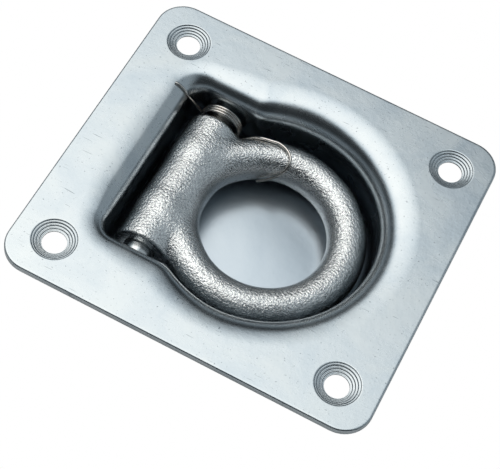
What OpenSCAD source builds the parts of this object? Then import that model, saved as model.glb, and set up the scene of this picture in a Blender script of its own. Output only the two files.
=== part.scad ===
// Flush mount tie down ring: a pressed steel pan that is let into a floor, with a forged ring that
// folds up out of it on a cross pin, and a wire torsion spring that lays the ring back down.
// The origin is the middle of the four screws on the plate's underside, which lies on the floor. Z is
// up, and the pin lies along Y on the -X side. The ring is drawn folded down. Heights in the modules
// count from the plate's upper face, and from_top() sets them on the origin.

/* [Plate] */
// Length of the plate, across the pin
plate_l = 102.5; // [94:0.5:120]
// Width of the plate, along the pin
plate_w = 96; // [90:0.5:110]
// Radius of the plate's corners
plate_corner_r = 8; // [2:0.5:12]
// Thickness of the pressed sheet
sheet_t = 2.0; // [1.5:0.1:2.5]

/* [Screws] */
// Screw spacing across the pin
screw_dx = 80; // [78:0.5:84]
// Screw spacing along the pin
screw_dy = 73; // [71:0.5:78]
// Clear hole for the screw
screw_d = 6.5; // [4:0.1:7]
// Rim of the countersink
sink_d = 12; // [9:0.1:12.5]
// Depth of the countersink
sink_depth = 1.6; // [0.8:0.1:1.6]

/* [Recess] */
// Depth of the recess under the plate's upper face
recess_depth = 19.2; // [17:0.2:24]
// Radius of the round bowl the ring lies in
bowl_r = 30.8; // [30:0.1:32]
// Place of the bowl's middle
bowl_x = 2.4; // [1:0.1:4]
// How much narrower than the bowl the head that holds the pin is, on each side
head_step = 3.76; // [3:0.02:5]
// Radius of the head's upright corners
head_corner_r = 4.5; // [4:0.1:6]
// Radius of the waist between head and bowl
waist_r = 9.15; // [7:0.5:12]
// Draw radius where the plate turns down into the recess
rim_r = 5.5; // [4.5:0.1:6]
// Inner radius where the wall turns into the floor
foot_r = 3.5; // [2.5:0.1:3.8]

/* [Pivot pin] */
// Diameter of the pin
pin_d = 8; // [6:0.1:8.5]
// Diameter of the pin's formed head
pin_head_d = 10.8; // [10:0.1:11.6]
// Thickness of the pin's formed head
pin_head_t = 2.4; // [1.6:0.1:3.2]
// Height of the peened end over the wall
peen_h = 1.6; // [1:0.1:2]
// Radius of the peened dome
peen_round = 7.5; // [7:0.1:9]

/* [Ring] */
// Thickness of the ring's round bar
bar_d = 10.8; // [9:0.1:11]
// Diameter of the barrel round the pin
barrel_d = 15; // [14:0.1:15.5]
// Gap between ring and bowl wall
ring_gap = 2.6; // [1.8:0.1:3.2]
// How far the ring's middle lies past the bowl's
ring_shift = 0.6; // [0:0.1:1]
// Distance from the middle line of the ring's bar to the pin's axis
arm_l = 2.9; // [2:0.1:4]
// Gap between barrel and back wall
back_gap = 2.4; // [1.8:0.1:3]
// Space between head wall and barrel at the plain end
plain_end_gap = 4.8; // [4:0.1:5.5]
// Space between head wall and barrel at the spring's end
spring_end_gap = 6.28; // [6:0.02:8]
// Rounding of the barrel's ends
barrel_edge_r = 0.8; // [0.4:0.1:1.2]
// Chamfer at the ends of the bore
bore_chamfer = 0.5; // [0.2:0.1:0.8]
// Angle round the ring, from its far side, at which an arm meets it
arm_meet = 125; // [122:0.5:128]
// How far an arm's ends lie under the bar and the barrel that they run into
arm_sink = 0.3; // [0.2:0.05:0.5]

/* [Spring] */
// Diameter of the spring wire
wire_d = 0.8; // [0.6:0.1:0.9]
// Mean radius of the coil
coil_r = 5.8; // [5.4:0.1:6]
// Rise of the coil for each turn
coil_pitch = 0.86; // [0.84:0.01:0.9]
// Gap between the last turn and the head wall
coil_end_gap = 0.5; // [0.5:0.05:0.8]
// Length of the plain leg's tip on the plate
leg_tip_l = 3.4; // [2:0.1:5]
// Sideways lean of the plain leg
leg_lean = 0.5; // [0:0.1:1]
// Distance from a corner of the wire at which its bend starts
leg_bend = 1.4; // [1:0.1:1.6]
// Angle round the ring at which the hook lies over the bar
hook_over = 98; // [96:1:102]
// How fast the hook leans back towards the pin on both sides of its crest
hook_lean = 0.0039; // [0.003:0.0001:0.0045]
// Angle round the bar at which the hook ends
hook_end = 200; // [170:5:210]

/* [Fits] */
// Gap at which a resting or seated piece lies
seat_gap = 0.3; // [0.3:0.05:0.5]
// Radial play of the ring on its pin
pin_play = 0.1; // [0.05:0.01:0.1]
// Radial play of the pin in the pan
pan_play = 0.05; // [0.02:0.01:0.1]

/* [Hidden] */
steel = [0.78, 0.80, 0.81];
forged = [0.66, 0.67, 0.67];
wire_steel = [0.52, 0.49, 0.46];
// How far a cutting shape runs past the face it opens
past = 1;
$fn = 96;
// Angles between stations of the wire on the coil and on the hook
coil_step = 20;
hook_step = 9;
wire_sides = 8;
// Size of the sector cut, in waist middles, that reaches past the whole head
sector_reach = 2.5;

pin_r = pin_d / 2;
bar_r = bar_d / 2;
barrel_r = barrel_d / 2;
wire_r = wire_d / 2;

// Ring in the bowl, pin behind the ring, and the head round both
ring_x = bowl_x + ring_shift;
ring_mid_r = bowl_r - ring_gap - bar_r;
reach = ring_mid_r + arm_l;
pin_x = ring_x - reach;
pin_z = -(recess_depth - seat_gap - barrel_r);
head_back = back_gap + barrel_r - pin_x;
head_half = bowl_r - head_step;
barrel_y0 = -head_half + plain_end_gap;
barrel_l = 2 * head_half - plain_end_gap - spring_end_gap;
// The ring is drawn level, then turned about the pin until its bar lies over the floor
rest_tilt = asin((recess_depth - seat_gap - bar_r + pin_z) / (reach + ring_mid_r));

// Waist circles touch the bowl and the straight sides of the head
waist_y = head_half + waist_r;
waist_x = bowl_x - sqrt((bowl_r + waist_r) * (bowl_r + waist_r) - waist_y * waist_y);
wall_foot = recess_depth - foot_r;

// Spring: the plain leg passes between the pin and the draw radius of the back rim
lay_h = bar_r + wire_r + seat_gap;
rim_x = -(head_back + rim_r);
rim_rise = -rim_r - pin_z;
leg_angle = atan2(rim_rise, rim_x - pin_x)
    - asin((coil_r + rim_r + wire_r + seat_gap) / norm([rim_x - pin_x, rim_rise]));
hook_start_angle = 45;
hook_crest = 120;
hook_start = placed(hook_point(hook_start_angle));
hook_run = [hook_start.x - pin_x, hook_start.z - pin_z];
coil_y1 = head_half - coil_end_gap - wire_r;
coil_a0 = leg_angle + 90;
coil_a1 = 4 * 360 + atan2(hook_run.y, hook_run.x) - acos(coil_r / norm(hook_run));
coil_y0 = coil_y1 - coil_pitch * (coil_a1 - coil_a0) / 360;
hook_joined = hook_start_angle + 2 * hook_step;

// A point of the level ring turned about the pin into its rest place
function placed(p) = [
    pin_x + (p.x - pin_x) * cos(rest_tilt) + (p.z - pin_z) * sin(rest_tilt),
    p.y,
    pin_z - (p.x - pin_x) * sin(rest_tilt) + (p.z - pin_z) * cos(rest_tilt)];

// The hook goes over the ring's bar and under it: a is the angle round the bar's section
function hook_turn(a) = hook_over + hook_lean * (a - hook_crest) * (a - hook_crest);
function hook_point(a) =
    let (r = ring_mid_r + lay_h * cos(a), t = hook_turn(a))
        [ring_x + r * cos(t), r * sin(t), pin_z + lay_h * sin(a)];

function coil_point(a) = [
    pin_x + coil_r * cos(a),
    coil_y0 + coil_pitch * (a - coil_a0) / 360,
    pin_z + coil_r * sin(a)];

function unit(v) = v / norm(v);

// A bend of a wire: a curve that leaves p for q at a distance b before p and joins after it
function bend(before, p, after, b) =
    let (u = p + unit(before - p) * b, v = p + unit(after - p) * b)
        [for (t = [0:0.2:1]) (1 - t) * (1 - t) * u + 2 * t * (1 - t) * p + t * t * v];

function wire_path() =
    let (
        top = wire_r + seat_gap,
        foot = coil_point(coil_a0),
        rise = (top - foot.z) / sin(leg_angle),
        knee = [foot.x + rise * cos(leg_angle), foot.y + leg_lean, top],
        tip = [knee.x - leg_tip_l, knee.y, top],
        off = coil_point(coil_a1)
    )
    concat(
        [tip],
        bend(tip, knee, foot, leg_bend),
        [for (a = [coil_a0:coil_step:coil_a1 - coil_step / 2]) coil_point(a)],
        [off],
        bend(off, hook_start, placed(hook_point(hook_joined)), leg_bend),
        [for (a = [hook_joined:hook_step:hook_end]) placed(hook_point(a))]
    );

function tangent(path, i) =
    unit(path[min(i + 1, len(path) - 1)] - path[max(i - 1, 0)]);

function square_to(v, t) = unit(v - (v * t) * t);

module from_top() {
    translate([0, 0, sheet_t])
        children();
}

// Section of the drawn wall: x runs outwards from its inner face, y is the height
module wall_section() {
    translate([rim_r, -rim_r])
        intersection() {
            difference() {
                circle(r = rim_r);
                circle(r = rim_r - sheet_t);
            }
            translate([-rim_r, 0])
                square(rim_r);
        }
    translate([0, -wall_foot])
        square([sheet_t, wall_foot - rim_r]);
    translate([-foot_r, -wall_foot])
        intersection() {
            difference() {
                circle(r = foot_r + sheet_t);
                circle(r = foot_r);
            }
            translate([0, -foot_r - sheet_t])
                square(foot_r + sheet_t);
        }
}

// The same with the flange that goes out to the middle line of the waist
module flanged_section() {
    wall_section();
    translate([rim_r, -sheet_t])
        square([waist_r - rim_r, sheet_t]);
}

// Rounded rectangle from x0 to x1, symmetric about the x axis
module rounded(x0, x1, half, r) {
    translate([x0 + r, -half])
        square([x1 - x0 - 2 * r, 2 * half]);
    translate([x0, -half + r])
        square([x1 - x0, 2 * half - 2 * r]);
    for (x = [x0 + r, x1 - r], y = [-half + r, half - r])
        translate([x, y])
            circle(r = r);
}

// The head's outline at a distance out from its wall, cut off where the waist starts
module head_outline(out) {
    intersection() {
        rounded(-head_back - out, bowl_x, head_half + out, head_corner_r + out);
        translate([-2 * head_back, -2 * head_half])
            square([2 * head_back + waist_x, 4 * head_half]);
    }
}

// Sector seen from the bowl's middle between the two waist circles: size 1 reaches their middles,
// and larger ones reach past the head
module waist_outline(size) {
    run = size * (waist_x - bowl_x);
    translate([bowl_x, 0])
        polygon([[0, 0], [run, size * waist_y], [run, -size * waist_y]]);
}

module waist_sector(size) {
    translate([0, 0, -recess_depth - sheet_t - past])
        linear_extrude(recess_depth + sheet_t + 2 * past)
            waist_outline(size);
}

// The recess with its flange is swept in pieces that meet face to face
module pan_recess() {
    corner_x = head_corner_r - head_back;
    back_l = 2 * (head_half - head_corner_r);
    difference() {
        translate([bowl_x, 0, 0])
            rotate_extrude() {
                translate([bowl_r, 0])
                    flanged_section();
                // The bowl's floor, out from its middle
                translate([0, -recess_depth - sheet_t])
                    square([bowl_r - foot_r, sheet_t]);
            }
        waist_sector(sector_reach);
    }
    for (side = [0, 1])
        mirror([0, side, 0]) {
            intersection() {
                translate([waist_x, waist_y, 0])
                    rotate_extrude() {
                        translate([waist_r, 0])
                            mirror([1, 0])
                                wall_section();
                        translate([0, -sheet_t])
                            square([waist_r - rim_r, sheet_t]);
                    }
                waist_sector(1);
            }
            translate([corner_x, head_half, 0])
                rotate([90, 0, 90])
                    linear_extrude(waist_x - corner_x)
                        flanged_section();
            translate([corner_x, head_half - head_corner_r, 0])
                rotate_extrude(start = 90, angle = 90)
                    translate([head_corner_r, 0])
                        flanged_section();
        }
    translate([-head_back, -back_l / 2, 0])
        rotate([90, 0, 180])
            linear_extrude(back_l)
                flanged_section();
    // Floor of the head and of the sector between the two waists
    translate([0, 0, -recess_depth - sheet_t])
        linear_extrude(sheet_t)
            head_outline(-foot_r);
    translate([0, 0, -recess_depth - sheet_t])
        linear_extrude(sheet_t)
            difference() {
                waist_outline(1);
                for (y = [-waist_y, waist_y])
                    translate([waist_x, y])
                        circle(r = waist_r + foot_r);
            }
}

module screw_hole() {
    translate([0, 0, -sheet_t - past])
        cylinder(d = screw_d, h = sheet_t + 2 * past);
    // The cone runs on past the face at its own slope
    slope = (sink_d - screw_d) / 2 / sink_depth;
    translate([0, 0, -sink_depth])
        cylinder(r1 = screw_d / 2, r2 = sink_d / 2 + past * slope, h = sink_depth + past);
}

module pan() {
    color(steel)
        from_top() difference() {
            union() {
                translate([0, 0, -sheet_t])
                    linear_extrude(sheet_t)
                        difference() {
                            rounded(-plate_l / 2, plate_l / 2, plate_w / 2, plate_corner_r);
                            translate([bowl_x, 0])
                                circle(r = bowl_r + waist_r);
                            head_outline(waist_r);
                        }
                pan_recess();
            }
            for (x = [-screw_dx / 2, screw_dx / 2], y = [-screw_dy / 2, screw_dy / 2])
                translate([x, y, 0])
                    screw_hole();
            translate([pin_x, 0, pin_z])
                rotate([90, 0, 0])
                    cylinder(r = pin_r + pan_play, h = 2 * (head_half + sheet_t + past), center = true);
        }
}

// Barrel with rounded ends, standing on its axis
module barrel() {
    e = barrel_edge_r;
    rotate_extrude() {
        square([barrel_r - e, barrel_l]);
        translate([0, e])
            square([barrel_r, barrel_l - 2 * e]);
        for (y = [e, barrel_l - e])
            translate([barrel_r - e, y])
                circle(r = e, $fn = 32);
    }
}

// Arm that swells from the bar of the ring to the barrel, along the bar's own direction
module arm() {
    meet = [ring_x + ring_mid_r * cos(arm_meet), ring_mid_r * sin(arm_meet)];
    run = (meet.x - pin_x) / sin(arm_meet);
    translate([meet.x, meet.y, pin_z])
        rotate([0, -90, arm_meet - 90])
            cylinder(r1 = bar_r - arm_sink, r2 = barrel_r - arm_sink, h = run);
}

module bore() {
    cylinder(r = pin_r + pin_play, h = barrel_l + 2 * past);
    for (end = [0, 1])
        translate([0, 0, end * (barrel_l + 2 * past)])
            mirror([0, 0, end])
                cylinder(r1 = pin_r + pin_play + bore_chamfer + past, r2 = pin_r + pin_play,
                    h = bore_chamfer + past);
}

module ring() {
    color(forged)
        from_top() translate([pin_x, 0, pin_z])
            rotate([0, rest_tilt, 0])
                translate([-pin_x, 0, -pin_z])
                    difference() {
                        union() {
                            translate([ring_x, 0, pin_z])
                                rotate_extrude()
                                    translate([ring_mid_r, 0])
                                        circle(r = bar_r);
                            arm();
                            mirror([0, 1, 0])
                                arm();
                            translate([pin_x, barrel_y0, pin_z])
                                rotate([-90, 0, 0])
                                    barrel();
                        }
                        translate([pin_x, barrel_y0 - past, pin_z])
                            rotate([-90, 0, 0])
                                bore();
                    }
}

// Pin: a plain rod with a formed head at one end and the other end peened over
module pivot_pin() {
    span = 2 * (head_half + sheet_t);
    edge = pin_head_t / 2;
    color(steel)
        from_top() translate([pin_x, -span / 2, pin_z])
            rotate([-90, 0, 0])
                rotate_extrude() {
                    square([pin_r, span]);
                    translate([0, -pin_head_t])
                        square([pin_head_d / 2 - edge, pin_head_t]);
                    translate([0, -edge])
                        square([pin_head_d / 2, edge]);
                    translate([pin_head_d / 2 - edge, -edge])
                        circle(r = edge, $fn = 32);
                    // Peened dome: the part above the wall of a circle centred below it
                    translate([0, span + peen_h - peen_round])
                        intersection() {
                            circle(r = peen_round, $fn = 96);
                            translate([0, peen_round - peen_h])
                                square([peen_round, peen_h]);
                        }
                }
}

// One bent wire: plain leg over the rim, coil round the pin, hook round the bar of the ring
module torsion_spring() {
    path = wire_path();
    last = len(path) - 1;
    t0 = tangent(path, 0);
    sides = [for (
        i = 0, n = square_to([0, 1, 0], t0);
        i <= last;
        n = square_to(n, tangent(path, min(i + 1, last))), i = i + 1) n];
    skin = [for (i = [0:last], k = [0:wire_sides - 1])
        let (a = 360 * k / wire_sides, m = cross(tangent(path, i), sides[i]))
            path[i] + wire_r * (cos(a) * sides[i] + sin(a) * m)];
    walls = [for (i = [0:last - 1], k = [0:wire_sides - 1])
        let (a = i * wire_sides + k, b = i * wire_sides + (k + 1) % wire_sides)
            [a, a + wire_sides, b + wire_sides, b]];
    start_cap = [for (k = [0:wire_sides - 1]) k];
    end_cap = [for (k = [wire_sides - 1:-1:0]) last * wire_sides + k];
    color(wire_steel)
        from_top() polyhedron(points = skin, faces = concat(walls, [start_cap], [end_cap]));
}

pan();
ring();
pivot_pin();
torsion_spring();
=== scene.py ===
import math
import bpy
import bmesh
import numpy as np
from mathutils import Matrix, Vector, geometry, noise


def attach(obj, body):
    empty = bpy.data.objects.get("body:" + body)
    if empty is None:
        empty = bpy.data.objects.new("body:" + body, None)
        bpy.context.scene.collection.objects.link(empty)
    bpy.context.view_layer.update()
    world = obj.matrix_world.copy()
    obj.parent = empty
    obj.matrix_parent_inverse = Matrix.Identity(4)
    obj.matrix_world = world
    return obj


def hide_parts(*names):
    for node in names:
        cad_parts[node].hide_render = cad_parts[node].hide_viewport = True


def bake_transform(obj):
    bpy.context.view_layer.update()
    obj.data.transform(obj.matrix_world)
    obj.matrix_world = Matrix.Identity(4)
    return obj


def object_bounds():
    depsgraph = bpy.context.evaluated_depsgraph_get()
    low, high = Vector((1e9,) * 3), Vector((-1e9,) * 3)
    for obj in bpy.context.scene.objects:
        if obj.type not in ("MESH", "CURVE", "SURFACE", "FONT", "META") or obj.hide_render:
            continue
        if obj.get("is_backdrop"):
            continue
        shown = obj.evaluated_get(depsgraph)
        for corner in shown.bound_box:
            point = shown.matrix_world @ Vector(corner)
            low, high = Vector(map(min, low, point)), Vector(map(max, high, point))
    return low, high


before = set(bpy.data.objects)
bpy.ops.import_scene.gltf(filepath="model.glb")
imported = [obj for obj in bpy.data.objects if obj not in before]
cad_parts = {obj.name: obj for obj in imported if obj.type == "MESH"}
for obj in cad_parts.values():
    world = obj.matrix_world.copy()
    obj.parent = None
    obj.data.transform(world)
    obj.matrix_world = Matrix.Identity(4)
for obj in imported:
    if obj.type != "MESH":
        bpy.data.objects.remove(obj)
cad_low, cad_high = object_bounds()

# Camera: a long lens that looks down over the pin's plain end, turned a little about its own axis
MM = 0.001
camera_place = Vector((55.75, -210.93, 346.78)) * MM
camera_aim = Vector((2.2, -9.77, 2.0)) * MM
camera_roll = math.radians(13.72)
camera_lens = 112.73
camera = bpy.data.objects.new("camera", bpy.data.cameras.new("camera"))
camera.data.lens = camera_lens
camera.data.sensor_width = 36.0
camera.data.clip_start = 0.01
camera.location = camera_place
camera.rotation_mode = "QUATERNION"
camera.rotation_quaternion = (
    (camera_aim - camera_place).to_track_quat("-Z", "Y")
    @ Matrix.Rotation(camera_roll, 3, "Z").to_quaternion()
)
bpy.context.collection.objects.link(camera)
bpy.context.scene.camera = camera
bpy.context.scene.view_settings.view_transform = "Standard"


# Studio: one wide overhead panel on the pin's side, a weak fill on the other, a glow along the horizon
# and a white floor. The metal takes its bands from these, and is dark where it faces the camera's side.
def add(tree, kind, inputs=(), **settings):
    """A new node: inputs are (socket, value or output) pairs, settings are its own properties."""
    node = tree.nodes.new(kind)
    for name, value in settings.items():
        setattr(node, name, value)
    for socket, value in inputs:
        if isinstance(value, bpy.types.NodeSocket):
            tree.links.new(value, node.inputs[socket])
        else:
            node.inputs[socket].default_value = value
    return node


def colour(code):
    """Linear colour of an sRGB hex code."""
    parts = [int(code[i:i + 2], 16) / 255 for i in (1, 3, 5)]
    return tuple(c / 12.92 if c <= 0.04045 else ((c + 0.055) / 1.055) ** 2.4 for c in parts) + (1.0,)


panel_aim, panel_core, panel_edge, panel_light = (-0.377, 0.152, 0.914), 20, 40.5, 1.85
fill_aim, fill_core, fill_edge, fill_light = (0.64, 0.37, 0.67), 8, 48, 0.45
glow_light, room_light = 0.42, 0.035
world = bpy.data.worlds.new("studio")
bpy.context.scene.world = world
world.use_nodes = True
tree = world.node_tree
tree.nodes.clear()
way = add(tree, "ShaderNodeTexCoord")


def lobe(aim, core, edge, light):
    """Soft round light: full within the core angle, nothing past the edge angle, and its cosine."""
    cosine = add(tree, "ShaderNodeVectorMath", [
        (0, way.outputs["Generated"]), (1, Vector(aim).normalized())], operation="DOT_PRODUCT").outputs["Value"]
    return cosine, add(tree, "ShaderNodeMapRange", [
        ("Value", cosine), ("From Min", math.cos(math.radians(edge))), ("From Max", math.cos(math.radians(core))),
        ("To Max", light)], interpolation_type="SMOOTHSTEP").outputs["Result"]


from_panel, panel = lobe(panel_aim, panel_core, panel_edge, panel_light)
from_fill, fill = lobe(fill_aim, fill_core, fill_edge, fill_light)
height = add(tree, "ShaderNodeSeparateXYZ", [("Vector", way.outputs["Generated"])]).outputs["Z"]
glow = add(tree, "ShaderNodeMapRange", [
    ("Value", height), ("From Min", 0.02), ("From Max", 0.4), ("To Min", glow_light), ("To Max", room_light)],
    interpolation_type="SMOOTHSTEP").outputs["Result"]
both = add(tree, "ShaderNodeMath", [(0, panel), (1, fill)], operation="ADD").outputs[0]
light = add(tree, "ShaderNodeMath", [(0, both), (1, glow)], operation="ADD").outputs[0]
warm = add(tree, "ShaderNodeMapRange", [
    ("Value", from_panel), ("From Min", math.cos(math.radians(36))), ("From Max", math.cos(math.radians(15)))])
tinted = add(tree, "ShaderNodeMix", [
    ("Factor", warm.outputs["Result"]), ("A", colour("#e0eff8")), ("B", colour("#fffdf8"))], data_type="RGBA")
lit = add(tree, "ShaderNodeBackground", [("Color", tinted.outputs["Result"]), ("Strength", light)])
white = add(tree, "ShaderNodeBackground", [("Color", (1.0, 1.0, 1.0, 1.0)), ("Strength", 1.0)])
path = add(tree, "ShaderNodeLightPath")
shown = add(tree, "ShaderNodeMixShader", [
    (0, path.outputs["Is Camera Ray"]), (1, lit.outputs[0]), (2, white.outputs[0])])
add(tree, "ShaderNodeOutputWorld", [("Surface", shown.outputs[0])])

floor_half = 1.5
floor_z = cad_low.z
floor_mesh = bpy.data.meshes.new("floor")
floor_mesh.from_pydata(
    [(x * floor_half, y * floor_half, floor_z) for x, y in ((-1, -1), (1, -1), (1, 1), (-1, 1))], [], [(0, 1, 2, 3)])
floor = bpy.data.objects.new("floor", floor_mesh)
bpy.context.collection.objects.link(floor)
paper = bpy.data.materials.new("white_paper")
paper.use_nodes = True
tree = paper.node_tree
tree.nodes.clear()
matt = add(tree, "ShaderNodeBsdfDiffuse", [("Color", colour("#e8e8e8"))])
glow = add(tree, "ShaderNodeEmission", [("Color", (1.0, 1.0, 1.0, 1.0)), ("Strength", 1.0)])
path = add(tree, "ShaderNodeLightPath")
both = add(tree, "ShaderNodeMixShader", [(0, path.outputs["Is Camera Ray"]), (1, matt.outputs[0]), (2, glow.outputs[0])])
add(tree, "ShaderNodeOutputMaterial", [("Surface", both.outputs[0])])
floor_mesh.materials.append(paper)
floor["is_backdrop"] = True


# Pan: one sheet of mild steel, blanked, punched and countersunk, with the keyhole recess drawn down
# out of it, then plated with bright zinc. The draw radius is wider round the bowl than at the head.
plate_l, plate_w, plate_corner, sheet = 102.5, 96.0, 8.0, 2.0
from_top = np.array([0.0, 0.0, sheet])


def new_object(name, verts, faces, material, sharp=30.0):
    """A plain object from points in mm, with heights from the plate's upper face; edges over the angle are sharp."""
    mesh = bpy.data.meshes.new(name)
    mesh.from_pydata([tuple(MM * (v + from_top)) for v in np.asarray(verts)], [], [tuple(int(i) for i in f) for f in faces])
    mesh.update()
    obj = bpy.data.objects.new(name, mesh)
    bpy.context.collection.objects.link(obj)
    finish_mesh(obj, sharp)
    mesh.materials.append(material)
    return obj


def finish_mesh(obj, sharp):
    """Outward faces and smooth shading on a closed mesh."""
    work = bmesh.new()
    work.from_mesh(obj.data)
    bmesh.ops.remove_doubles(work, verts=work.verts, dist=1e-7)
    bmesh.ops.recalc_face_normals(work, faces=work.faces)
    work.to_mesh(obj.data)
    work.free()
    obj.data.shade_smooth()
    obj.data.set_sharp_from_angle(angle=math.radians(sharp))


hole_x, hole_y, hole_r, sink_r, sink_depth = 40.0, 36.5, 3.25, 6.0, 1.6
bowl_r, bowl_x, head_half, head_back, head_corner = 30.8, 2.4, 27.04, 32.6, 4.5
waist_r, foot_r, depth, ring_hole_x = 9.15, 3.5, 19.2, 3.0
rim_head, rim_bowl, shoulder_tilt = 5.0, 6.5, math.radians(10)
shoulder_end, corner_end = 10.0, 7.2
waist_y = head_half + waist_r
waist_x = bowl_x - math.sqrt((bowl_r + waist_r) ** 2 - waist_y ** 2)
bowl_end = math.atan2(waist_y, waist_x - bowl_x)


def keyhole(out):
    """Closed outline of the recess, each point at its own distance out from the inner wall face."""
    def arc(cx, cy, a0, a1, r, sign, count):
        a = np.linspace(a0, a1, count, endpoint=False)
        return [(cx, cy, math.cos(t), math.sin(t), r, sign) for t in a]

    def line(x0, y0, x1, y1, nx, ny, count):
        return [(x0 + (x1 - x0) * k / count, y0 + (y1 - y0) * k / count, nx, ny, 0.0, 1.0) for k in range(count)]

    cx, cy = head_corner - head_back, head_half - head_corner
    rows = arc(bowl_x, 0, -bowl_end, bowl_end, bowl_r, 1, 220)
    rows += arc(waist_x, waist_y, bowl_end - math.pi, -math.pi / 2, waist_r, -1, 24)
    rows += line(waist_x, head_half, cx, head_half, 0, 1, 14)
    rows += arc(cx, cy, math.pi / 2, math.pi, head_corner, 1, 20)
    rows += line(-head_back, cy, -head_back, -cy, -1, 0, 40)
    rows += arc(cx, -cy, math.pi, 1.5 * math.pi, head_corner, 1, 20)
    rows += line(cx, -head_half, waist_x, -head_half, 0, -1, 14)
    rows += arc(waist_x, -waist_y, math.pi / 2, math.pi - bowl_end, waist_r, -1, 24)
    rows = np.array(rows)
    reach = rows[:, 4] + rows[:, 5] * out
    return rows[:, :2] + rows[:, 2:4] * reach[:, None]


base_loop = keyhole(np.zeros(376))
from_corner = np.hypot(base_loop[:, 0] + head_back - 1.3, np.abs(base_loop[:, 1]) - head_half + 1.3)
dish_end = shoulder_end - (shoulder_end - corner_end) * np.exp(-(from_corner / 9.0) ** 2)
loop_n = len(base_loop)
swell = np.clip((base_loop[:, 0] + 16.0) / 22.0, 0, 1)
swell = swell * swell * (3 - 2 * swell)
rim = rim_head + (rim_bowl - rim_head) * swell - 1.5 * (1 - swell) * np.clip(-base_loop[:, 1] / 9 - 1.5, 0, 1)


def ring_of(centre, radius, z, count=96):
    a = np.linspace(0, 2 * math.pi, count, endpoint=False)
    return np.stack([centre[0] + radius * np.cos(a), centre[1] + radius * np.sin(a), np.full(count, z)], 1)


def plate_loop(inset, z, count=14):
    """Rounded outline of the plate."""
    loop = []
    for sx, sy, start in ((1, 1, 0), (-1, 1, 90), (-1, -1, 180), (1, -1, 270)):
        cx, cy = sx * (plate_l / 2 - plate_corner), sy * (plate_w / 2 - plate_corner)
        for t in np.linspace(math.radians(start), math.radians(start + 90), count):
            r = plate_corner - inset
            loop.append((cx + r * math.cos(t), cy + r * math.sin(t), z))
    return np.array(loop)


verts, faces = [], []


def put(loop):
    """Adds a loop's points and returns their numbers."""
    start = len(verts)
    verts.extend(tuple(p) for p in loop)
    return list(range(start, start + len(loop)))


def join(a, b):
    """Quads between two loops of the same length."""
    n = len(a)
    faces.extend((a[i], a[(i + 1) % n], b[(i + 1) % n], b[i]) for i in range(n))


def sweep(loops):
    numbers = [put(loop) for loop in loops]
    for a, b in zip(numbers, numbers[1:]):
        join(a, b)
    return numbers[0], numbers[-1]


def fill(outer, holes, free=()):
    """Triangles inside the outer loop and outside the holes, through the free points."""
    loops = [outer] + holes
    flat = [n for loop in loops for n in loop] + list(free)
    points = [Vector(verts[n][:2]) for n in flat]
    edges, at = [], 0
    for loop in loops:
        edges += [(at + i, at + (i + 1) % len(loop)) for i in range(len(loop))]
        at += len(loop)
    out = geometry.delaunay_2d_cdt(points, edges, [], 1, 1e-6)
    corner = [flat[o[0]] for o in out[3]]
    for tri in out[2]:
        mid = sum((out[0][i] for i in tri), Vector((0, 0))) / 3
        if not any(inside(mid, [verts[n] for n in loop]) for loop in holes):
            faces.append(tuple(corner[i] for i in tri))


def inside(p, loop):
    hit = False
    for a, b in zip(loop, loop[1:] + loop[:1]):
        if (a[1] > p.y) != (b[1] > p.y) and p.x < (b[0] - a[0]) * (p.y - a[1]) / (b[1] - a[1]) + a[0]:
            hit = not hit
    return hit


def wall_loops(t):
    """Loops of one face of the drawn sheet, t under its upper face, from the floor up to the plate."""
    loops = []
    loops.append((np.full(loop_n, -foot_r - 0.3), np.full(loop_n, -depth - t)))
    for a in np.linspace(0, math.pi / 2, 11):
        r = foot_r + t
        loops.append((np.full(loop_n, -foot_r + r * math.sin(a)), np.full(loop_n, -depth + foot_r - r * math.cos(a))))
    dish_start = rim * (1 - math.sin(shoulder_tilt))
    dish = math.tan(shoulder_tilt) * (dish_end - dish_start) / 2
    drop = dish + rim * math.cos(shoulder_tilt)
    top, low = -drop, -depth + foot_r
    for k in (0.03, 0.3, 0.6, 0.97):
        loops.append((np.full(loop_n, t), low + (top - low) * k))
    for a in np.linspace(math.pi / 2, shoulder_tilt, 19):
        r = rim - t
        loops.append((rim - r * math.sin(a), -drop + r * math.cos(a)))
    for k in np.linspace(0.12, 1.0, 9):
        slope = math.tan(shoulder_tilt) * (1 - k)
        off = dish_start + (dish_end - dish_start) * k
        loops.append((off + t * slope, -dish * (1 - k) ** 2 - t))
    return [np.column_stack([keyhole(out), z]) for out, z in loops]


top_floor, top_plate = sweep(wall_loops(0.0))
under_floor, under_plate = sweep(wall_loops(sheet))
crown_r, crown = 21.0, 0.9
floor_marks = []
for count, r in ((1, 0.0), (24, 3.0), (36, 6.0), (48, 9.0), (60, 12.0), (72, 15.0), (84, 18.0), (96, crown_r)):
    floor_marks.append((r, count))
for loop, t in ((top_floor, 0.0), (under_floor, sheet)):
    rings = []
    for r, count in floor_marks:
        rise = crown * (1 - (r / crown_r) ** 2) ** 1.5
        rings.append(put(ring_of((ring_hole_x, 0.0), r, -depth - t + rise, count)))
    fill(loop, [], [n for ring_nos in rings for n in ring_nos])

edge_top, edge_low = 0.55, 0.25
edge = [plate_loop(edge_top + 0.3, 0.0)]
edge += [plate_loop(edge_top * (1 - math.sin(a)), -edge_top * (1 - math.cos(a))) for a in np.linspace(0, math.pi / 2, 7)]
edge += [plate_loop(edge_low * (1 - math.cos(a)), -sheet + edge_low * (1 - math.sin(a))) for a in np.linspace(0, math.pi / 2, 5)]
edge += [plate_loop(edge_low + 0.3, -sheet)]
edge_in, edge_under = sweep(edge)

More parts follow.
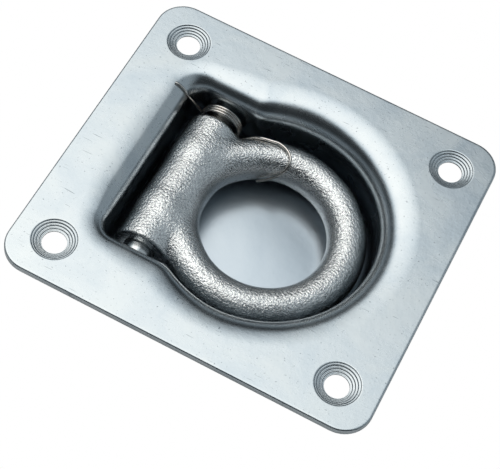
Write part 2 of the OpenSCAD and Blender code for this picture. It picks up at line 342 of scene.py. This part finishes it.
top_holes, under_holes = [], []
lip = 0.14
terraces = 4
for sx in (-1, 1):
    for sy in (-1, 1):
        c = (sx * hole_x, sy * hole_y)
        cone = [ring_of(c, sink_r + lip + 0.2, 0.0), ring_of(c, sink_r + lip, 0.0), ring_of(c, sink_r, -0.03)]
        for k in range(terraces):
            outer = sink_r - (sink_r - hole_r) * k / terraces
            low = -0.03 - (sink_depth - 0.03) * k / terraces
            step_r, step_z = (sink_r - hole_r) / terraces, (sink_depth - 0.03) / terraces
            cone += [ring_of(c, outer - step_r * a, low - step_z * b) for a, b in ((0.04, 0.1), (0.22, 0.66), (0.3, 0.72), (0.94, 0.92))]
        cone += [ring_of(c, hole_r, -sink_depth - 0.06), ring_of(c, hole_r, -sheet + 0.1)]
        cone += [ring_of(c, hole_r + 0.12, -sheet), ring_of(c, hole_r + 0.4, -sheet)]
        a, b = sweep(cone)
        top_holes.append(a)
        under_holes.append(b)
fill(edge_in, [top_plate] + top_holes)
fill(edge_under, [under_plate] + under_holes)

zinc = bpy.data.materials.new("zinc_on_pressed_sheet")
zinc.use_nodes = True
tree = zinc.node_tree
shader = tree.nodes["Principled BSDF"]
place = add(tree, "ShaderNodeTexCoord").outputs["Object"]
cloud = add(tree, "ShaderNodeTexNoise", [
    ("Vector", place), ("Scale", 60.0), ("Detail", 5.0), ("Roughness", 0.6), ("Distortion", 0.6)])
mist = add(tree, "ShaderNodeTexNoise", [("Vector", place), ("Scale", 260.0), ("Detail", 3.0), ("Roughness", 0.6)])
speck = add(tree, "ShaderNodeTexNoise", [("Vector", place), ("Scale", 1500.0), ("Detail", 2.0)])
tone = add(tree, "ShaderNodeMapRange", [("Value", cloud.outputs["Fac"]), ("From Min", 0.3), ("From Max", 0.7)])
clouded = add(tree, "ShaderNodeMix", [
    ("Factor", tone.outputs["Result"]), ("A", colour("#b0b8be")), ("B", colour("#cacfd1"))], data_type="RGBA")
# Dull grey spots of thin plating, and short fine scratches that lie along the plate
spot = add(tree, "ShaderNodeMapRange", [
    ("Value", speck.outputs["Fac"]), ("From Min", 0.66), ("From Max", 0.74), ("To Max", 0.7)])
drift = add(tree, "ShaderNodeMapping", [
    ("Vector", place), ("Rotation", (0.0, 0.0, math.radians(-14))), ("Scale", (1.0, 14.0, 1.0))])
hair = add(tree, "ShaderNodeTexNoise", [("Vector", drift.outputs[0]), ("Scale", 150.0), ("Detail", 3.0)])
scratch = add(tree, "ShaderNodeMapRange", [
    ("Value", hair.outputs["Fac"]), ("From Min", 0.69), ("From Max", 0.73), ("To Max", 0.6)])
marks = add(tree, "ShaderNodeMath", [
    (0, spot.outputs["Result"]), (1, scratch.outputs["Result"])], operation="MAXIMUM")
apart = add(tree, "ShaderNodeSeparateXYZ", [("Vector", place)])
on_plate = add(tree, "ShaderNodeMath", [(0, apart.outputs["Z"]), (1, 0.0)], operation="GREATER_THAN")
worn = add(tree, "ShaderNodeMath", [(0, marks.outputs[0]), (1, on_plate.outputs[0])], operation="MULTIPLY")
base = add(tree, "ShaderNodeMix", [
    ("Factor", worn.outputs[0]), ("A", clouded.outputs["Result"]), ("B", colour("#747b80"))], data_type="RGBA")
# Painted shade: the drawn wall is coloured dark and the floor a darker grey than the plate, standing in for the shade
# down in the recess
wall_top, wall_full, wall_low, floor_top = -0.0005, -0.0045, -0.0135, -0.0165
down = add(tree, "ShaderNodeMapRange", [
    ("Value", apart.outputs["Z"]), ("From Min", wall_top), ("From Max", wall_full)], interpolation_type="SMOOTHSTEP")
on_floor = add(tree, "ShaderNodeMapRange", [
    ("Value", apart.outputs["Z"]), ("From Min", wall_low), ("From Max", floor_top)], interpolation_type="SMOOTHSTEP")
floor_shade_share = add(tree, "ShaderNodeMath", [(0, on_floor.outputs["Result"]), (1, 0.75)], operation="MULTIPLY")
# Floor coloured darker than the plate as painted shade
floor_painted_shade = add(tree, "ShaderNodeMix", [
    ("Factor", floor_shade_share.outputs[0]), ("A", base.outputs["Result"]), ("B", colour("#a8b2bb"))], data_type="RGBA")
wall_shade_mask = add(tree, "ShaderNodeMath", [
    (0, down.outputs["Result"]), (1, on_floor.outputs["Result"])], operation="SUBTRACT", use_clamp=True)
# Wall coloured dark as painted shade
drawn = add(tree, "ShaderNodeMix", [
    ("Factor", wall_shade_mask.outputs[0]), ("A", floor_painted_shade.outputs["Result"]), ("B", colour("#7d888f"))], data_type="RGBA")
tree.links.new(drawn.outputs["Result"], shader.inputs["Base Color"])
shader.inputs["Metallic"].default_value = 1.0
plain = add(tree, "ShaderNodeMapRange", [
    ("Value", cloud.outputs["Fac"]), ("From Min", 0.3), ("From Max", 0.7), ("To Min", 0.21), ("To Max", 0.31)])
rough = add(tree, "ShaderNodeMapRange", [
    ("Value", on_floor.outputs["Result"]), ("To Min", plain.outputs["Result"]), ("To Max", 0.3)])
tree.links.new(rough.outputs["Result"], shader.inputs["Roughness"])
side_x = add(tree, "ShaderNodeMath", [(0, apart.outputs["X"])], operation="ABSOLUTE")
side_y = add(tree, "ShaderNodeMath", [(0, apart.outputs["Y"])], operation="ABSOLUTE")
folded = add(tree, "ShaderNodeCombineXYZ", [("X", side_x.outputs[0]), ("Y", side_y.outputs[0])])
from_hole = add(tree, "ShaderNodeVectorMath", [
    (0, folded.outputs[0]), (1, (hole_x * MM, hole_y * MM, 0.0))], operation="DISTANCE")
turn_pitch = 0.32
turns = add(tree, "ShaderNodeMath", [
    (0, from_hole.outputs["Value"]), (1, 2 * math.pi / (turn_pitch * MM))], operation="MULTIPLY")
groove = add(tree, "ShaderNodeMath", [(0, turns.outputs[0])], operation="SINE")
in_sink = add(tree, "ShaderNodeMath", [(0, from_hole.outputs["Value"]), (1, sink_r * MM)], operation="LESS_THAN")
lines = add(tree, "ShaderNodeMath", [(0, groove.outputs[0]), (1, in_sink.outputs[0])], operation="MULTIPLY")
grain = add(tree, "ShaderNodeBump", [("Height", speck.outputs["Fac"]), ("Strength", 0.05), ("Distance", 0.0001)])
wave = add(tree, "ShaderNodeBump", [
    ("Height", mist.outputs["Fac"]), ("Strength", 0.3), ("Distance", 0.0001), ("Normal", grain.outputs["Normal"])])
turned = add(tree, "ShaderNodeBump", [
    ("Height", lines.outputs[0]), ("Strength", 0.25), ("Distance", 0.00006), ("Normal", wave.outputs["Normal"])])
tree.links.new(turned.outputs["Normal"], shader.inputs["Normal"])

pan = new_object("pan_sheet", verts, faces, zinc)
pin_x, pin_z = -22.7, -11.4
pin_r, wall_play = 4.0, 0.05


def lathe(profile, count=64):
    """Points and faces of a solid turned about the pin's axis from (radius, y) pairs, closed at both ends."""
    points, sides = [], []
    for r, y in profile:
        for k in range(count):
            a = 2 * math.pi * k / count
            points.append((pin_x + r * math.cos(a), y, pin_z + r * math.sin(a)))
    for j in range(len(profile) - 1):
        for k in range(count):
            a, b = j * count + k, j * count + (k + 1) % count
            sides.append((a, b, b + count, a + count))
    sides.append(tuple(range(count)))
    sides.append(tuple(range((len(profile) - 1) * count, len(profile) * count)))
    return points, sides


def cut(obj, profile, sharp):
    """Takes a turned solid out of an object."""
    tool = new_object("cutter", *lathe(profile), None, sharp)
    step = obj.modifiers.new("bore", "BOOLEAN")
    step.object = tool
    step.operation = "DIFFERENCE"
    step.solver = "EXACT"
    graph = bpy.context.evaluated_depsgraph_get()
    done = bpy.data.meshes.new_from_object(obj.evaluated_get(graph), depsgraph=graph)
    obj.modifiers.remove(step)
    obj.data = done
    bpy.data.objects.remove(tool)
    finish_mesh(obj, sharp)


cut(pan, [(pin_r + wall_play, -40.0), (pin_r + wall_play, 40.0)], 30.0)
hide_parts("pan")
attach(pan, "pan_body")


# Ring: one drop forging, a round bar closed on itself with two arms that swell into the barrel, blasted
# and plated, so its skin stays rough. The barrel is drilled through afterwards.
bar_r, ring_mid, barrel_r, barrel_edge = 5.4, 22.8, 7.5, 0.8
ring_x = bowl_x + 0.6
barrel_y0, barrel_y1 = -head_half + 4.8, -head_half + 47.8
arm_meet = math.radians(125)
seat_gap = 0.3
rest_tilt = math.asin((depth - seat_gap - bar_r + pin_z) / (ring_x - pin_x + ring_mid))
bore_r = pin_r + 0.1
meet = np.array([ring_x + ring_mid * math.cos(arm_meet), ring_mid * math.sin(arm_meet), pin_z])
root_y = meet[1] + (meet[0] - pin_x) / math.tan(arm_meet)


def smooth_min(a, b, k):
    h = np.clip(0.5 + 0.5 * (b - a) / k, 0, 1)
    return b + (a - b) * h - k * h * (1 - h)


def round_cone(p, a, b, ra, rb):
    """Distance to a bar that tapers between two balls."""
    ba = b - a
    l2, rr = ba @ ba, ra - rb
    a2 = l2 - rr * rr
    pa = p - a
    y = pa @ ba
    z = y - l2
    x2 = ((pa * l2 - y[:, None] * ba) ** 2).sum(1)
    y2, z2 = y * y * l2, z * z * l2
    k = np.sign(rr) * rr * rr * x2
    end_b = np.sqrt(x2 + z2) / l2 - rb
    end_a = np.sqrt(x2 + y2) / l2 - ra
    side = (np.sqrt(x2 * a2 / l2) + y * rr) / l2 - ra
    return np.where(np.sign(z) * a2 * z2 > k, end_b, np.where(np.sign(y) * a2 * y2 < k, end_a, side))


def forging(p):
    """Distance from the smooth forging, in the ring's level frame."""
    q = p - np.array([ring_x, 0, pin_z])
    bar = np.hypot(np.hypot(q[:, 0], q[:, 1]) - ring_mid, q[:, 2]) - bar_r
    arms = np.minimum(*[
        round_cone(p, np.array([pin_x, s * root_y, pin_z]), meet * np.array([1, s, 1]), 6.8, 5.0) for s in (-1, 1)])
    r = np.hypot(p[:, 0] - pin_x, p[:, 2] - pin_z) - (barrel_r - barrel_edge)
    half = (barrel_y1 - barrel_y0) / 2 - barrel_edge
    y = np.abs(p[:, 1] - (barrel_y0 + barrel_y1) / 2) - half
    barrel = np.hypot(np.maximum(r, 0), np.maximum(y, 0)) + np.minimum(np.maximum(r, y), 0) - barrel_edge
    return smooth_min(smooth_min(bar, arms, 1.0), barrel, 2.4)


def torus(count_a=160, count_b=48):
    points, sides = [], []
    for i in range(count_a):
        for j in range(count_b):
            t, a = 2 * math.pi * i / count_a, 2 * math.pi * j / count_b
            r = ring_mid + bar_r * math.cos(a)
            points.append((ring_x + r * math.cos(t), r * math.sin(t), pin_z + bar_r * math.sin(a)))
            sides.append((i * count_b + j, (i + 1) % count_a * count_b + j,
                          (i + 1) % count_a * count_b + (j + 1) % count_b, i * count_b + (j + 1) % count_b))
    return points, sides


def bar_between(a, b, ra, rb, count=48):
    a, b = Vector(a), Vector(b)
    turn = (b - a).to_track_quat("Z", "Y")
    points = []
    for centre, r in ((a, ra), (b, rb)):
        for k in range(count):
            t = 2 * math.pi * k / count
            points.append(tuple(centre + turn @ Vector((r * math.cos(t), r * math.sin(t), 0))))
    sides = [(k, (k + 1) % count, count + (k + 1) % count, count + k) for k in range(count)]
    sides += [tuple(range(count)), tuple(range(count, 2 * count))]
    return points, sides


points, sides = torus()
solids = [lathe([(barrel_r, barrel_y0), (barrel_r, barrel_y1)])]
solids += [bar_between((pin_x, s * root_y, pin_z), meet * np.array([1, s, 1]), 6.8, 5.0) for s in (-1, 1)]
for more, quads in solids:
    shift = len(points)
    points = points + list(more)
    sides = sides + [tuple(n + shift for n in q) for q in quads]
forged = bpy.data.materials.new("zinc_on_forging")
ring = new_object("ring_forging", points, sides, forged, 180.0)
voxel = 0.36
step = ring.modifiers.new("skin", "REMESH")
step.mode = "VOXEL"
step.voxel_size = voxel * MM
graph = bpy.context.evaluated_depsgraph_get()
skin = bpy.data.meshes.new_from_object(ring.evaluated_get(graph), depsgraph=graph)
ring.modifiers.clear()
ring.data = skin
p = np.empty(len(skin.vertices) * 3)
skin.vertices.foreach_get("co", p)
p = p.reshape(-1, 3) / MM - from_top
for turn in range(8):
    f = forging(p)
    g = np.stack([forging(p + e) - forging(p - e) for e in np.eye(3) * 0.02], 1) / 0.04
    p = p - (f / np.maximum((g * g).sum(1), 0.2))[:, None] * g
g = np.stack([forging(p + e) - forging(p - e) for e in np.eye(3) * 0.05], 1)
g /= np.linalg.norm(g, axis=1)[:, None]
rough_mm = ((7.0, 0.05), (2.2, 0.03), (1.0, 0.022))
lift = np.array([sum(high * noise.noise(Vector(v) / wide) for wide, high in rough_mm) for v in p])
p = p + g * lift[:, None]
pivot = np.array([pin_x, 0, pin_z])
c, s = math.cos(rest_tilt), math.sin(rest_tilt)
p = (p - pivot) @ np.array([[c, 0, s], [0, 1, 0], [-s, 0, c]]).T + pivot
skin.vertices.foreach_set("co", ((p + from_top) * MM).ravel())
skin.update()

forged.use_nodes = True
tree = forged.node_tree
shader = tree.nodes["Principled BSDF"]
place = add(tree, "ShaderNodeTexCoord").outputs["Object"]
lumps = add(tree, "ShaderNodeTexNoise", [("Vector", place), ("Scale", 1650.0), ("Detail", 2.5), ("Roughness", 0.6)])
grit = add(tree, "ShaderNodeTexNoise", [("Vector", place), ("Scale", 3200.0), ("Detail", 2.0)])
patch = add(tree, "ShaderNodeTexNoise", [("Vector", place), ("Scale", 140.0), ("Detail", 3.0)])
tone = add(tree, "ShaderNodeMapRange", [("Value", patch.outputs["Fac"]), ("From Min", 0.3), ("From Max", 0.7)])
base = add(tree, "ShaderNodeMix", [
    ("Factor", tone.outputs["Result"]), ("A", colour("#d6d7d7")), ("B", colour("#e8e9e9"))], data_type="RGBA")
# Pits of the blasted skin that the plating leaves dark
pit = add(tree, "ShaderNodeTexNoise", [("Vector", place), ("Scale", 2100.0), ("Detail", 3.0), ("Roughness", 0.65)])
deep = add(tree, "ShaderNodeMapRange", [
    ("Value", pit.outputs["Fac"]), ("From Min", 0.57), ("From Max", 0.66), ("To Max", 0.6)])
pitted = add(tree, "ShaderNodeMix", [
    ("Factor", deep.outputs["Result"]), ("A", base.outputs["Result"]), ("B", colour("#6a6d70"))], data_type="RGBA")
tree.links.new(pitted.outputs["Result"], shader.inputs["Base Color"])
shader.inputs["Metallic"].default_value = 1.0
rough = add(tree, "ShaderNodeMapRange", [
    ("Value", patch.outputs["Fac"]), ("From Min", 0.3), ("From Max", 0.7), ("To Min", 0.17), ("To Max", 0.25)])
tree.links.new(rough.outputs["Result"], shader.inputs["Roughness"])
fine = add(tree, "ShaderNodeBump", [("Height", grit.outputs["Fac"]), ("Strength", 0.3), ("Distance", 0.00006)])
rugged = add(tree, "ShaderNodeBump", [
    ("Height", lumps.outputs["Fac"]), ("Strength", 1.0), ("Distance", 0.00028), ("Normal", fine.outputs["Normal"])])
tree.links.new(rugged.outputs["Normal"], shader.inputs["Normal"])
skin.materials.clear()
skin.materials.append(forged)
chamfer = 0.5
cut(ring, [(bore_r + chamfer + 1, barrel_y0 - 1), (bore_r, barrel_y0 + chamfer), (bore_r, barrel_y1 - chamfer),
           (bore_r + chamfer + 1, barrel_y1 + 1)], 50.0)
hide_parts("ring")
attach(ring, "ring_body")


# Pivot pin: a cold-headed rod of bright plated steel, pushed through both end walls and peened over.
pin_head_r, pin_head_t, peen_h, peen_round = 5.4, 2.4, 1.6, 7.5
wall_out = head_half + sheet
bright = bpy.data.materials.new("zinc_on_drawn_rod")
bright.use_nodes = True
tree = bright.node_tree
shader = tree.nodes["Principled BSDF"]
place = add(tree, "ShaderNodeTexCoord").outputs["Object"]
drawn = add(tree, "ShaderNodeMapping", [("Vector", place), ("Scale", (1.0, 0.06, 1.0))])
streak = add(tree, "ShaderNodeTexNoise", [("Vector", drawn.outputs[0]), ("Scale", 2400.0), ("Detail", 3.0)])
base = add(tree, "ShaderNodeMix", [
    ("Factor", streak.outputs["Fac"]), ("A", colour("#c9cbcb")), ("B", colour("#e2e4e4"))], data_type="RGBA")
tree.links.new(base.outputs["Result"], shader.inputs["Base Color"])
shader.inputs["Metallic"].default_value = 1.0
shader.inputs["Roughness"].default_value = 0.2
scored = add(tree, "ShaderNodeBump", [("Height", streak.outputs["Fac"]), ("Strength", 0.2), ("Distance", 0.0001)])
tree.links.new(scored.outputs["Normal"], shader.inputs["Normal"])
round_head = pin_head_t / 2
profile = [(0.01, -wall_out - pin_head_t)]
profile += [
    (pin_head_r - round_head + round_head * math.sin(a), -wall_out - round_head - round_head * math.cos(a))
    for a in np.linspace(0, math.pi / 2, 8)]
profile += [(pin_head_r, -wall_out - 0.05), (pin_head_r - 0.05, -wall_out), (pin_r, -wall_out), (pin_r, wall_out)]
dome = math.acos((peen_round - peen_h) / peen_round)
profile += [
    (max(peen_round * math.sin(a), 0.01), wall_out + peen_h - peen_round + peen_round * math.cos(a))
    for a in np.linspace(dome, 0, 9)]
pin = new_object("pin_rod", *lathe(profile), bright)
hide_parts("pivot_pin")
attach(pin, "pan_body")


# Spring: one length of hard-drawn wire, coiled by machine with both ends free: a plain leg bent over the
# back rim and a hook bent round the bar. The coil winds up with the ring, so it is a piece of its own.
wire_r, coil_r, coil_pitch, coil_end_gap = 0.4, 5.8, 0.86, 0.5
leg_top_y, leg_tip_l, hook_bend = 22.5, 0.9, 1.4
wire_gap = 0.05
lay_h = bar_r + wire_r + seat_gap


def placed(q):
    x, z = q[0] - pin_x, q[2] - pin_z
    return np.array([pin_x + x * c + z * s, q[1], pin_z - x * s + z * c])


def hook(a):
    r = ring_mid + lay_h * math.cos(math.radians(a))
    t = math.radians(98 + 0.0039 * (a - 120) ** 2)
    return placed((ring_x + r * math.cos(t), r * math.sin(t), pin_z + lay_h * math.sin(math.radians(a))))


def coil(a):
    t = math.radians(a)
    return np.array([
        pin_x + coil_r * math.cos(t), coil_y1 - coil_pitch * (a - coil_a0) / 360, pin_z + coil_r * math.sin(t)])


def off_forging(q):
    """A point of the wire's middle line, moved out where the wire would lie in the forging."""
    x, z = q[0] - pin_x, q[2] - pin_z
    level = np.array([[pin_x + x * c - z * s, q[1], pin_z + x * s + z * c]])
    for turn in range(4):
        short = wire_r + wire_gap - forging(level)[0]
        if short > 0:
            slope = np.array([(forging(level + e) - forging(level - e))[0] for e in np.eye(3) * 0.05])
            level = level + short * slope / np.linalg.norm(slope)
    return placed(level[0])


def toward(a, b, length):
    return a + (b - a) / np.linalg.norm(b - a) * length


def bend(before, corner, after, length, count=9):
    u, v = toward(corner, before, length), toward(corner, after, length)
    return [(1 - t) ** 2 * u + 2 * t * (1 - t) * corner + t * t * v for t in np.linspace(0, 1, count)]


lay_r = rim_head + wire_r + wire_gap
arc_x, arc_z = -head_back - rim_head, -5.4
rim_run, rim_rise = arc_x - pin_x, arc_z - pin_z
leg_angle = math.degrees(
    math.atan2(rim_rise, rim_run) - math.asin((coil_r + lay_r) / math.hypot(rim_run, rim_rise)))
coil_a0 = leg_angle + 90
start = hook(45)
far = (start[0] - pin_x, start[2] - pin_z)
coil_a1 = 4 * 360 + math.degrees(math.atan2(far[1], far[0]) - math.acos(coil_r / math.hypot(*far)))
coil_y1 = head_half - coil_end_gap - wire_r
foot = coil(coil_a0)
# The leg leaves the coil at a tangent, meets the rim's round at a tangent and lies over it to its end
over_rim = [
    np.array([arc_x + lay_r * math.sin(a), leg_top_y, arc_z + lay_r * math.cos(a)])
    for a in np.radians(np.linspace(18, 180 - leg_angle, 9))]
plain = [over_rim[0] + np.array([-leg_tip_l, 0, 0.1])] + over_rim
plain += [over_rim[-1] + (foot - over_rim[-1]) * k for k in np.linspace(0.08, 0.96, 12)]
turns = [coil(a) for a in np.linspace(coil_a0, coil_a1, 200)]
off = turns[-1]
straight = [off + (start - off) * k for k in np.linspace(0.06, 0.86, 16)]
hooked = straight + bend(off, start, hook(63), hook_bend) + [hook(a) for a in np.arange(66, 200.1, 3)]
hooked = [off_forging(q) for q in hooked]
route = np.array(plain + turns + hooked)
ways = np.gradient(route, axis=0)
ways /= np.linalg.norm(ways, axis=1)[:, None]
across = [np.array([0.0, 1.0, 0.0])]
for w in ways:
    v = across[-1] - (across[-1] @ w) * w
    across.append(v / np.linalg.norm(v))
across = np.array(across[1:])
beside = np.cross(ways, across)
wire_sides = 14
round_a = np.linspace(0, 2 * math.pi, wire_sides, endpoint=False)
tube = (route[:, None] + wire_r * (
    np.cos(round_a)[None, :, None] * across[:, None] + np.sin(round_a)[None, :, None] * beside[:, None]))

wire = bpy.data.materials.new("hard_drawn_wire")
wire.use_nodes = True
tree = wire.node_tree
shader = tree.nodes["Principled BSDF"]
place = add(tree, "ShaderNodeTexCoord").outputs["Object"]
stain = add(tree, "ShaderNodeTexNoise", [("Vector", place), ("Scale", 500.0), ("Detail", 3.0)])
base = add(tree, "ShaderNodeMix", [
    ("Factor", stain.outputs["Fac"]), ("A", colour("#c4c0bb")), ("B", colour("#e4e0db"))], data_type="RGBA")
tree.links.new(base.outputs["Result"], shader.inputs["Base Color"])
shader.inputs["Metallic"].default_value = 1.0
shader.inputs["Roughness"].default_value = 0.22
first, last = len(plain), len(plain) + len(turns) - 1
for name, a, b in (("spring_leg", 0, first), ("spring_coil", first, last), ("spring_hook", last, len(route) - 1)):
    part = tube[a:b + 1]
    n = len(part)
    quads = [
        (i * wire_sides + k, i * wire_sides + (k + 1) % wire_sides,
         (i + 1) * wire_sides + (k + 1) % wire_sides, (i + 1) * wire_sides + k)
        for i in range(n - 1) for k in range(wire_sides)]
    quads += [tuple(range(wire_sides)), tuple(range((n - 1) * wire_sides, n * wire_sides))]
    piece = new_object(name, part.reshape(-1, 3), quads, wire, 60.0)
    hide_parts("torsion_spring")
    if name == "spring_coil":
        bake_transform(piece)
    else:
        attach(piece, "pan_body" if name == "spring_leg" else "ring_body")

low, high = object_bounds()
